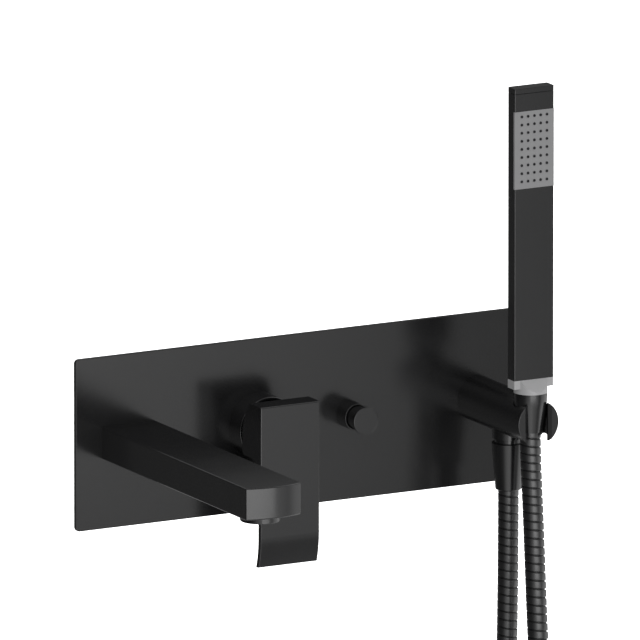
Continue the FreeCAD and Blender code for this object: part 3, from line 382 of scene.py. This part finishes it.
def make_world():
    """White to the eye; in reflections bright in front and right, dark behind the wall."""
    world = bpy.data.worlds.new("studio")
    world.use_nodes = True
    tree = world.node_tree
    tree.nodes.clear()

    def add(kind, operation=None, feeds=()):
        node = tree.nodes.new(kind)
        if operation:
            node.operation = operation
        for socket, value in zip(node.inputs, feeds):
            if isinstance(value, bpy.types.NodeSocket):
                tree.links.new(value, socket)
            else:
                socket.default_value = value
        return node

    def graded(value, low, high, levels):
        """The level at a value, read off a list of (value, level)."""
        share = add("ShaderNodeMapRange", feeds=(value, low, high, 0.0, 1.0))
        ramp = add("ShaderNodeValToRGB", feeds=(share.outputs[0],))
        peak = max(level for _, level in levels)
        stops = ramp.color_ramp.elements
        while len(stops) < len(levels):
            stops.new(0.5)
        for stop, (at, level) in zip(stops, levels):
            stop.position = (at - low) / (high - low)
            stop.color = (level / peak, level / peak, level / peak, 1.0)
        return add("ShaderNodeMath", "MULTIPLY", (ramp.outputs[0], peak)).outputs[0]

    def glow(strength):
        return add("ShaderNodeBackground", feeds=((1.0, 1.0, 1.0, 1.0), strength)).outputs[0]

    parts = add("ShaderNodeSeparateXYZ", feeds=(add("ShaderNodeTexCoord").outputs["Generated"],))
    ahead = add("ShaderNodeMath", "MULTIPLY", (parts.outputs["Y"], -1.0)).outputs[0]
    angle = add("ShaderNodeMath", "ARCTAN2", (parts.outputs["X"], ahead)).outputs[0]
    degrees = add("ShaderNodeMath", "DEGREES", (angle,)).outputs[0]
    around = graded(degrees, -180, 180, STUDIO)
    upward = graded(parts.outputs["Z"], -1, 1, HEIGHTS)
    shown = glow(add("ShaderNodeMath", "MULTIPLY", (around, upward)).outputs[0])
    path = add("ShaderNodeLightPath")
    for ray, strength in (("Is Diffuse Ray", SKY), ("Is Camera Ray", 1.0)):
        feeds = (path.outputs[ray], shown, glow(strength))
        shown = add("ShaderNodeMixShader", feeds=feeds).outputs[0]
    add("ShaderNodeOutputWorld", feeds=(shown,))
    bpy.context.scene.world = world


make_world()


def area_light(name, spot, size, radiance):
    """A rectangular lamp facing down, whose face has the given brightness."""
    data = bpy.data.lights.new(name, "AREA")
    data.shape = "RECTANGLE"
    data.size, data.size_y = size
    data.energy = radiance * math.pi * size[0] * size[1]
    light = bpy.data.objects.new(name, data)
    bpy.context.scene.collection.objects.link(light)
    light.location = spot
    light.visible_camera = False
    return light


def panel(name, left, right, low, high, radiance):
    """An upright panel between two places on the plan, seen from the part."""
    middle = Vector(((left[0] + right[0]) / 2, (left[1] + right[1]) / 2, (low + high) / 2))
    light = area_light(name, middle, (math.dist(left, right), high - low), radiance)
    turn = math.atan2(right[1] - left[1], right[0] - left[0])
    light.rotation_euler = (math.radians(90), 0.0, turn)


PANEL_TOP = 0.12
PANEL_Y = -1.08
PANEL_START = 0.32
PANEL_WIDTH = 0.105
PANEL_LEVELS = (0.80, 0.82, 0.70, 0.46)
WASH_HEIGHT = 4.0
WASH_SIDE = 60.0

panel("key_softbox", (-0.36, -0.95), (0.31, PANEL_Y), -0.28, PANEL_TOP, 2.75)
for place, level in enumerate(PANEL_LEVELS):
    start = PANEL_START + PANEL_WIDTH * place
    ends = (start, PANEL_Y), (start + PANEL_WIDTH, PANEL_Y)
    panel(f"front_panel_{place}", *ends, -0.42, PANEL_TOP, level)
wash = area_light("floor_wash", (0.0, 0.0, WASH_HEIGHT), (WASH_SIDE, WASH_SIDE), 2.2)
wash.visible_glossy = False
wash.data.use_shadow = False
lit = bpy.data.collections.new("floor_only")
lit.objects.link(studio_floor)
wash.light_linking.receiver_collection = lit

VIEW_AZIMUTH = math.radians(-28.09)
VIEW_ELEVATION = math.radians(12.85)
VIEW_CENTRE = Vector((0.01843, 0.0072, 0.0652))
VIEW_WIDTH = 0.43655
LENS = 1730.0
SENSOR = 36.0
CLIP = (0.1, 200.0)


def make_camera():
    data = bpy.data.cameras.new("camera")
    data.lens = LENS
    data.sensor_width = SENSOR
    camera = bpy.data.objects.new("camera", data)
    bpy.context.scene.collection.objects.link(camera)
    flat = math.cos(VIEW_ELEVATION)
    right, ahead = math.sin(VIEW_AZIMUTH) * flat, -math.cos(VIEW_AZIMUTH) * flat
    back = Vector((right, ahead, math.sin(VIEW_ELEVATION)))
    camera.location = VIEW_CENTRE + back * (VIEW_WIDTH * LENS / SENSOR)
    camera.rotation_mode = "QUATERNION"
    camera.rotation_quaternion = (-back).to_track_quat("-Z", "Y")
    data.clip_start, data.clip_end = CLIP
    bpy.context.scene.camera = camera


make_camera()
view = bpy.context.scene.view_settings
view.view_transform = "Standard"
view.look = "None"
